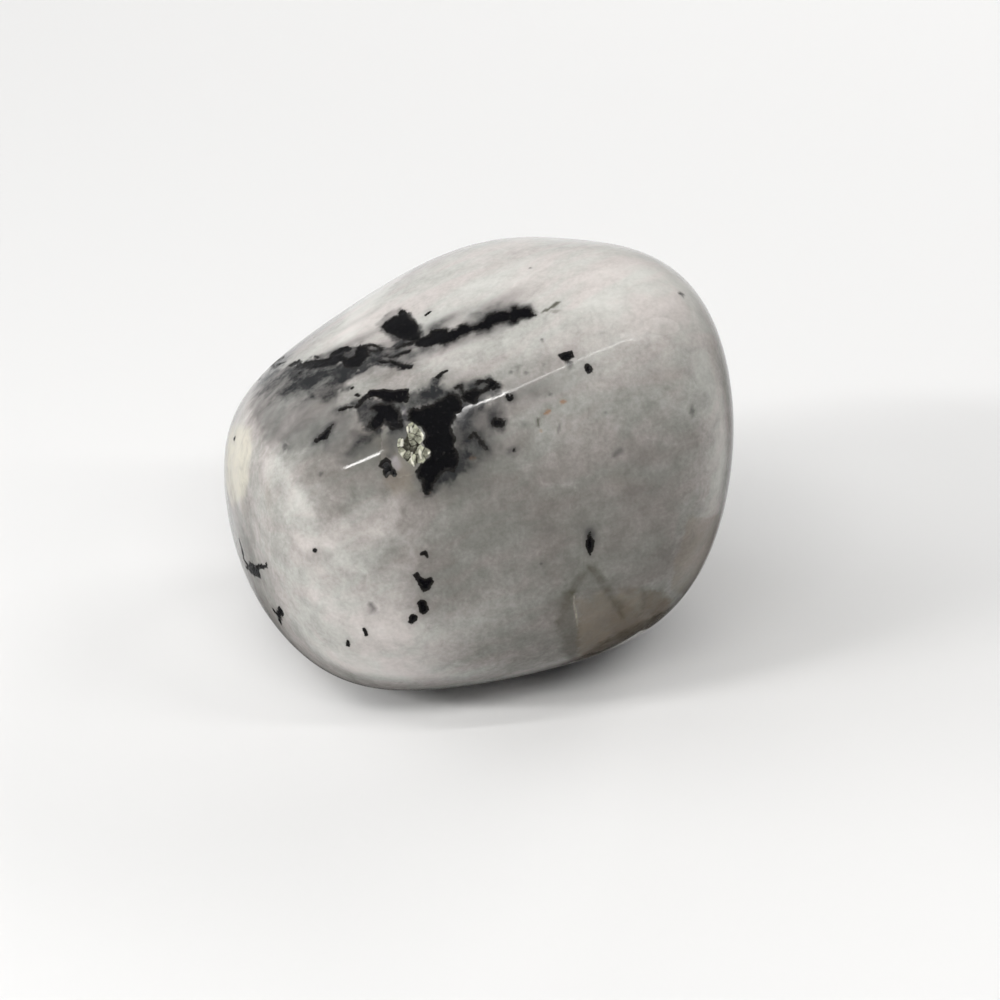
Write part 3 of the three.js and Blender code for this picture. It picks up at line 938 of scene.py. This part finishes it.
def mark_values(marks, places, facing):
    """For every kind of mark, its value at each corner: how deep inside it in millimetres for the crisp
    kinds, and how much it covers for the others. Also how fine the mesh has to be there."""
    values = {kind: np.full(len(places), -1.0) for kind in CRISP_DEPTHS}
    values.update({kind: np.zeros(len(places)) for kind in COVERS})
    fineness = np.zeros(len(places), dtype=int)
    for mark in marks:
        if isinstance(mark, Veil):
            values[mark.kind] += mark.cover(places)
            continue
        depth = mark.depth(places, facing) / MM
        close = np.flatnonzero(np.abs(depth) < EDGE_REACH + mark.soft)
        wander = np.array([ragged_edge(places[i]) for i in close])
        depth[close] += wander * mark.ragged * EDGE_GAIN
        if mark.kind in CRISP_DEPTHS:
            values[mark.kind] = np.maximum(values[mark.kind], depth)
            level = np.where(depth > -REFINED_MARGIN, CRISP_DEPTHS[mark.kind], 0)
        else:
            cover = mark.strength * smooth_step(-mark.soft, mark.soft, depth)
            if mark.kind == "milk_and_painted_light":
                values["milk_and_painted_light"] += cover
            else:
                values[mark.kind] = 1 - (1 - values[mark.kind]) * (1 - cover)
            seam = (np.abs(depth) < REFINED_MARGIN) & (mark.soft <= CRISP)
            level = np.where(seam, SEAM_FINENESS, 0)
        fineness = np.maximum(fineness, level)
    return values, fineness


# ---------------------------------------------------------------- the stone's mesh
def facing_ways(mesh, places):
    """The way that the skin faces at each corner of the mesh."""
    corners = np.array([[vertex.index for vertex in face.verts] for face in mesh.faces])
    one, two, three = (places[corners[:, i]] for i in range(3))
    face_normals = np.cross(two - one, three - one)
    normals = np.zeros_like(places)
    for i in range(3):
        np.add.at(normals, corners[:, i], face_normals)
    return unit(normals)


def lay_plates(places, mica_depth):
    """For every corner in the mica: the brightness of its plate, how far it is from the next plate in
    millimetres, and how far its plate's slant raises it."""
    middles = np.array([MAIN.meet(spot)[0] for spot in PLATES])
    looks = np.array(list(PLATES.values()))
    bright, crack, rise = np.zeros((3, len(places)))
    inside = np.flatnonzero(mica_depth > -REFINED_MARGIN)
    spokes = places[inside, None, :] - middles[None, :, :]
    away = np.linalg.norm(spokes, axis=2)
    order = np.argsort(away, axis=1)
    own = order[:, 0]
    rows = np.arange(len(inside))
    crack[inside] = (away[rows, order[:, 1]] - away[rows, own]) / 2 / MM
    own_spoke = spokes[rows, own]
    slant = looks[own, 1] * (own_spoke @ as_array(PICTURE_RIGHT))
    slant += looks[own, 2] * (own_spoke @ as_array(PICTURE_UP))
    rise[inside] = -PLATE_TILT * slant
    # the plate's own tone, with a painted sheen that grows along its slant
    bright[inside] = looks[own, 0] + PLATE_PAINTED_SHEEN * slant / MM
    return bright, crack, rise


def make_stone():
    sphere = bmesh.new()
    bmesh.ops.create_icosphere(sphere, subdivisions=BASE_SUBDIVISIONS, radius=1)
    places = np.empty((0, 3))
    for step in range(REFINEMENTS + 1):
        places = np.vstack([places, skin.points(corner_places(sphere)[len(places) :])])
        facing = facing_ways(sphere, places)
        values, fineness = mark_values(MARKS, places, facing)
        if step < REFINEMENTS:
            refine(sphere, fineness > step)
    in_mica = smooth_step(0, PIT_EDGE, values["mica"])
    clear_of_mica = np.where(values["mica"] > 0, -values["mica"], np.inf)
    values["tourmaline"] = np.minimum(values["tourmaline"], clear_of_mica)
    bright, crack, rise = lay_plates(places, values["mica"])
    values["plate_tone_and_sheen"] = bright
    values["plate_crack"] = crack
    uneven = np.array([noise.noise(Vector(place) / MM * PIT_BUMPS) for place in places])
    pit = PIT_DEPTH * smooth_step(0, PIT_EDGE, values["tourmaline"]) * (PIT_SHARE + PIT_UNEVENNESS * uneven)
    sink = pit * (1 - np.minimum(values["sunken"], 1))
    sink += CRACK_DEPTH * in_mica * (1 - smooth_step(0, CRACK_EDGE, crack)) - in_mica * rise
    places = places - facing * sink[:, None]
    places[:, 2] = np.maximum(places[:, 2], 0)
    for vertex, place in zip(sphere.verts, places):
        vertex.co = place
    mesh = bpy.data.meshes.new("polished_moonstone")
    sphere.to_mesh(mesh)
    sphere.free()
    mesh.shade_smooth()
    for name, value in values.items():
        mesh.attributes.new(name, "FLOAT", "POINT").data.foreach_set("value", value.astype(np.float32))
    stone = bpy.data.objects.new("polished_moonstone", mesh)
    bpy.context.collection.objects.link(stone)
    return stone


# ---------------------------------------------------------------- the stone's material
BANDING = Vector((0.9, 0.25, 0.35))  # the way that the milky bands and the tourmaline run
CLEAR_FELDSPAR = (0.154, 0.149, 0.138, 1)
MILKY_FELDSPAR = (0.665, 0.650, 0.635, 1)
GREENISH = (0.975, 1.0, 0.98, 1)
ROSY = (1.025, 0.99, 0.985, 1)
SMOKE_GREY = (0.022, 0.023, 0.025, 1)
TOURMALINE_BLACK = (0.004, 0.004, 0.005, 1)
TOURMALINE_EDGE = (0.017, 0.016, 0.015, 1)
TOURMALINE_FLECK = (0.030, 0.030, 0.024, 1)
CRACK_PAINTED_GLINT = (0.32, 0.30, 0.25, 1)
PLATE_DARK = (0.050, 0.048, 0.036, 1)
PLATE_LIGHT = (0.78, 0.79, 0.62, 1)
PLATE_CRACK = (0.02, 0.014, 0.01, 1)
MICA_PAINTED_GLINT = (0.95, 0.94, 0.82, 1)
POLISH = (0.056, 0.0945)  # the roughness of the polished feldspar, from place to place
DULL = 0.36  # where the polish is broken
CRYSTAL_POLISH = 0.17  # and on the tourmaline
FELDSPAR_IOR = 1.53
GLOW_WEIGHT = 0.5  # of the light that scatters below the skin
GLOW_RADII = (1.0, 0.95, 0.9)
GLOW_DEPTH = 0.9 * MM
PLATE_METAL = 0.5
WAVE_HEIGHT = 0.006  # in millimetres, as are the next two
CRYSTAL_GRAIN = 0.03
PITTED_GRAIN = 0.2


class Recipe:
    """Lays down the nodes of a material or of the world, each fed by the ones before it."""

    def __init__(self, owner):
        owner.use_nodes = True
        self.nodes = owner.node_tree.nodes
        self.links = owner.node_tree.links

    def feed(self, socket, value):
        if isinstance(value, bpy.types.NodeSocket):
            self.links.new(value, socket)
        else:
            socket.default_value = value

    def value(self, attribute):
        node = self.nodes.new("ShaderNodeAttribute")
        node.attribute_name = attribute
        return node.outputs["Fac"]

    def sums(self, operation, *values):
        node = self.nodes.new("ShaderNodeMath")
        node.operation = operation
        for socket, value in zip(node.inputs, values):
            self.feed(socket, value)
        return node.outputs["Value"]

    def times(self, one, other):
        return self.sums("MULTIPLY", one, other)

    def swayed(self, value, noise, amount):
        """The value, moved up and down by noise, which lies around a half."""
        return self.sums("MULTIPLY_ADD", self.sums("SUBTRACT", noise, 0.5), amount, value)

    def between(self, value, low, high, to_low=0.0, to_high=1.0):
        """The value, stretched so that low becomes to_low and high to_high, and held between them."""
        node = self.nodes.new("ShaderNodeMapRange")
        node.interpolation_type = "SMOOTHSTEP"
        names = ("Value", "From Min", "From Max", "To Min", "To Max")
        for name, amount in zip(names, (value, low, high, to_low, to_high)):
            self.feed(node.inputs[name], amount)
        return node.outputs["Result"]

    def mix(self, base, over, cover, blend="MIX"):
        node = self.nodes.new("ShaderNodeMix")
        node.data_type = "RGBA"
        node.blend_type = blend
        sockets = {socket.identifier: socket for socket in node.inputs}
        for name, amount in (("Factor_Float", cover), ("A_Color", base), ("B_Color", over)):
            self.feed(sockets[name], amount)
        return next(socket for socket in node.outputs if socket.identifier == "Result_Color")

    def noise(self, spot, size, detail=3.0, rough=0.5, twist=0.0):
        """Noise whose clouds are about the given size in millimetres."""
        node = self.nodes.new("ShaderNodeTexNoise")
        names = ("Vector", "Scale", "Detail", "Roughness", "Distortion")
        for name, amount in zip(names, (spot, 1 / (size * MM), detail, rough, twist)):
            self.feed(node.inputs[name], amount)
        return node.outputs["Fac"]

    def place(self, stretch=(1, 1, 1), turned_to=None):
        """Places on the stone, stretched along the way that it is turned to."""
        node = self.nodes.new("ShaderNodeMapping")
        node.vector_type = "TEXTURE"
        node.inputs["Scale"].default_value = stretch
        if turned_to:
            node.inputs["Rotation"].default_value = turned_to.to_track_quat("X", "Z").to_euler()
        self.feed(node.inputs["Vector"], self.nodes.new("ShaderNodeTexCoord").outputs["Object"])
        return node.outputs["Vector"]


def feldspar_material():
    material = bpy.data.materials.new("milky_feldspar")
    recipe = Recipe(material)
    shader = recipe.nodes["Principled BSDF"]
    shader.inputs["IOR"].default_value = FELDSPAR_IOR
    shader.inputs["Subsurface Weight"].default_value = GLOW_WEIGHT
    shader.inputs["Subsurface Radius"].default_value = GLOW_RADII
    shader.inputs["Subsurface Scale"].default_value = GLOW_DEPTH

    even = recipe.place()
    banded = recipe.place(stretch=(2.6, 1, 1), turned_to=BANDING)
    upright = recipe.place(stretch=(1, 1, 5))
    clouds = recipe.noise(banded, size=3.2, detail=4, rough=0.55, twist=0.6)
    mottle = recipe.noise(even, size=0.95, detail=4, rough=0.6, twist=0.5)
    grain = recipe.noise(even, size=0.24, rough=0.6)
    striae = recipe.noise(upright, size=0.45, detail=2)
    wisps = recipe.noise(even, size=1.5, twist=0.3)
    fray = recipe.noise(even, size=0.2, detail=4, rough=0.65, twist=0.4)

    # how milky the feldspar is: its clouds, with finer ones in them, and the painted shade and sheen laid
    # in with the milk
    milkiness_and_painted_light = recipe.sums("ADD", recipe.value("milk_and_painted_light"), 0.5)
    for part, contrast in ((clouds, 0.5), (mottle, 0.5), (grain, 0.34), (striae, 0.12)):
        milkiness_and_painted_light = recipe.swayed(milkiness_and_painted_light, part, contrast)
    milkiness_and_painted_light = recipe.between(milkiness_and_painted_light, -0.25, 1.25)
    colour = recipe.mix(CLEAR_FELDSPAR, MILKY_FELDSPAR, milkiness_and_painted_light)
    flush = recipe.noise(banded, size=1.9, rough=0.6, twist=0.8)
    tint = recipe.mix(GREENISH, ROSY, recipe.between(flush, 0.35, 0.65))
    colour = recipe.mix(colour, tint, 1.0, "MULTIPLY")

    # stains, broken up by the mottling; the umber among them is partly painted shade
    broken = recipe.between(mottle, 0.3, 0.7, 0.55, 1.1)
    for kind, stain in STAIN_AND_SHADE_COLOURS.items():
        cover = recipe.sums("MINIMUM", recipe.times(recipe.value(kind), broken), 1.0)
        colour = recipe.mix(colour, stain, cover)

    # smoke, in wisps and grains
    wispy = recipe.between(wisps, 0.3, 0.7, 0.7, 1.2)
    grainy = recipe.between(grain, 0.3, 0.7, 0.9, 1.1)
    smoke = recipe.times(recipe.times(recipe.value("smoke"), wispy), grainy)
    near = recipe.swayed(recipe.value("tourmaline"), wisps, 0.9)
    halo = recipe.times(recipe.between(near, -0.45, 0.1), recipe.between(smoke, 0.0, 0.2, 0.12, 0.75))
    clear_of_smoke = recipe.sums("SUBTRACT", 1.0, recipe.sums("MINIMUM", smoke, 1.0))
    smoke = recipe.sums("MULTIPLY_ADD", recipe.times(halo, grainy), clear_of_smoke, smoke)
    thickest = recipe.between(mottle, 0.32, 0.6, 0.88, 0.99)
    smoke = recipe.times(recipe.sums("MINIMUM", smoke, 1.0), thickest)
    colour = recipe.mix(colour, SMOKE_GREY, smoke)

    # a healed crack, with its glint painted as a pale line
    crack = recipe.between(recipe.value("crack"), -0.05, 0.03)
    glint = recipe.times(crack, recipe.between(grain, 0.4, 0.6, 0.4, 1.0))
    colour = recipe.mix(colour, CRACK_PAINTED_GLINT, glint)

    # tourmaline, frayed at its edges, where it thins out
    sunken = recipe.value("sunken")
    ragged = recipe.between(recipe.value("smoke"), 0.0, 0.25, 0.2, 0.45)
    depth = recipe.swayed(recipe.value("tourmaline"), fray, ragged)
    outer = recipe.sums("MULTIPLY_ADD", sunken, -0.2, -0.06)
    inner = recipe.sums("MULTIPLY_ADD", sunken, 0.16, 0.01)
    crystal = recipe.between(depth, outer, inner)
    black = recipe.mix(TOURMALINE_EDGE, TOURMALINE_BLACK, recipe.between(depth, 0.0, 0.22))
    black = recipe.mix(black, TOURMALINE_FLECK, recipe.between(fray, 0.58, 0.74, 0.0, 0.9))
    colour = recipe.mix(colour, black, crystal)

    # mica plates, their brightness partly painted sheen, with painted glints on them
    flaky_tone_and_sheen = recipe.swayed(recipe.value("plate_tone_and_sheen"), fray, 1.4)
    plate = recipe.mix(PLATE_DARK, PLATE_LIGHT, recipe.between(flaky_tone_and_sheen, 0.0, 1.0))
    parting = recipe.swayed(recipe.value("plate_crack"), grain, 0.12)
    plate = recipe.mix(PLATE_CRACK, plate, recipe.between(parting, 0.0, 0.035))
    plate = recipe.mix(plate, MICA_PAINTED_GLINT, recipe.value("painted_mica_glint"))
    mica = recipe.between(recipe.value("mica"), -0.02, 0.03)
    colour = recipe.mix(colour, plate, mica)
    recipe.feed(shader.inputs["Base Color"], colour)
    recipe.feed(shader.inputs["Metallic"], recipe.times(mica, PLATE_METAL))

    # the polish
    ground = recipe.between(mottle, 0.3, 0.7, *POLISH)
    ground = recipe.sums("MAXIMUM", ground, recipe.times(recipe.value("dull"), DULL))
    on_feldspar = recipe.times(recipe.sums("SUBTRACT", 1.0, crystal), ground)
    roughness = recipe.sums("MULTIPLY_ADD", crystal, CRYSTAL_POLISH, on_feldspar)
    recipe.feed(shader.inputs["Roughness"], roughness)

    # faint waves left by the tumbling, and the pitted face of the tourmaline
    bump = recipe.nodes.new("ShaderNodeBump")
    bump.inputs["Distance"].default_value = MM
    bump.inputs["Strength"].default_value = 1
    waves = recipe.times(recipe.noise(even, size=1.8, detail=1, rough=0.4), WAVE_HEIGHT)
    coarseness = recipe.sums("MULTIPLY_ADD", recipe.value("pitted"), PITTED_GRAIN, CRYSTAL_GRAIN)
    pits = recipe.times(fray, coarseness)
    recipe.feed(bump.inputs["Height"], recipe.sums("MULTIPLY_ADD", pits, crystal, waves))
    recipe.feed(shader.inputs["Normal"], bump.outputs["Normal"])
    return material


def table_material():
    material = bpy.data.materials.new("pale_table")
    material.use_nodes = True
    shader = material.node_tree.nodes["Principled BSDF"]
    shader.inputs["Base Color"].default_value = TABLE_COLOUR
    shader.inputs["Roughness"].default_value = TABLE_ROUGHNESS
    shader.inputs["Specular IOR Level"].default_value = TABLE_SHINE
    return material


# ---------------------------------------------------------------- the set
def make_table():
    """The table, in three parts each way. Only the middle one, in the stone's shade, shows in the polish,
    which shows the back wall's glow in place of the rest."""
    xs, ys = ((-TABLE_REACH, low, high, TABLE_REACH) for low, high in SHADED_TABLE)
    corners = [(x, y, 0) for y in ys for x in xs]
    row = len(xs)
    starts = [row * i + j for i in range(row - 1) for j in range(row - 1)]
    parts = [(start, start + 1, start + row + 1, start + row) for start in starts]
    shaded = parts.pop(len(parts) // 2)
    material = table_material()
    for name, faces in (("table", parts), ("table_under_stone", [shaded])):
        mesh = bpy.data.meshes.new(name)
        mesh.from_pydata(corners, [], faces)
        mesh.materials.append(material)
        part = bpy.data.objects.new(name, mesh)
        part.visible_glossy = faces == [shaded]
        bpy.context.collection.objects.link(part)


def make_camera():
    camera = bpy.data.objects.new("camera", bpy.data.cameras.new("camera"))
    camera.data.lens = CAMERA_LENS
    camera.data.sensor_width = CAMERA_SENSOR
    camera.data.clip_start = MM
    camera.location = CAMERA_PLACE
    camera.rotation_euler = (-TOWARDS_CAMERA).to_track_quat("-Z", "Y").to_euler()
    bpy.context.collection.objects.link(camera)
    bpy.context.scene.camera = camera


def make_light(name, place, along, width, height, power):
    """A rectangle of light that faces the stone, its width along a given way."""
    lamp = bpy.data.lights.new(name, "AREA")
    lamp.shape = "RECTANGLE"
    lamp.size = width
    lamp.size_y = height
    lamp.energy = power
    lamp.color = LIGHT_COLOUR
    light = bpy.data.objects.new(name, lamp)
    light.location = place
    away = place - LIGHT_TARGET
    away = (away - along * away.dot(along)).normalized()
    light.rotation_euler = Matrix((along, away.cross(along), away)).transposed().to_euler()
    light.visible_glossy = name.startswith("strip")
    bpy.context.collection.objects.link(light)


def make_lights():
    for name, (left_end, right_end, width, power) in STRIPS.items():
        left, right = Vector(left_end) * MM, Vector(right_end) * MM
        span = right - left
        make_light(name, (left + right) / 2, span.normalized(), span.length, width * MM, power)
    for name, (azimuth, elevation, width, height, power) in PANELS.items():
        view = SideView(azimuth, elevation)
        place = LIGHT_TARGET + view.towards * PANEL_DISTANCE
        make_light(name, place, view.right, width * MM, height * MM, power)


def make_room():
    """The light tent around the stone, which glows all round and most on its left. Its back wall shows
    in the polish alone."""
    world = bpy.data.worlds.new("light_tent")
    bpy.context.scene.world = world
    recipe = Recipe(world)

    def towards(way, focus):
        facing = recipe.nodes.new("ShaderNodeVectorMath")
        facing.operation = "DOT_PRODUCT"
        recipe.feed(facing.inputs[0], recipe.nodes.new("ShaderNodeTexCoord").outputs["Generated"])
        recipe.feed(facing.inputs[1], way)
        return recipe.sums("POWER", recipe.sums("MAXIMUM", facing.outputs["Value"], 0.0), focus)

    glow = recipe.sums("MULTIPLY_ADD", towards(LEFT_WALL, WALL_FOCUS), WALL_GLOW, TENT_GLOW)
    in_polish = recipe.nodes.new("ShaderNodeLightPath").outputs["Is Glossy Ray"]
    share = recipe.sums("MULTIPLY_ADD", in_polish, GLOW_IN_POLISH - 1, 1.0)
    lit = recipe.between(towards(DOWN, 1), *STONE_SHADE, BACK_WALL_GLOW, 0)
    back_wall = recipe.times(towards(BACK_WALL, BACK_WALL_FOCUS), lit)
    glow = recipe.sums("MULTIPLY_ADD", back_wall, in_polish, recipe.times(glow, share))
    background = recipe.nodes["Background"]
    background.inputs["Color"].default_value = TENT_COLOUR
    recipe.feed(background.inputs["Strength"], glow)


make_camera()
make_room()
make_lights()
make_table()
stone = make_stone()
stone.data.materials.append(feldspar_material())
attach(stone, "root")
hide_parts("moonstone")
bpy.context.scene.view_settings.view_transform = "Standard"
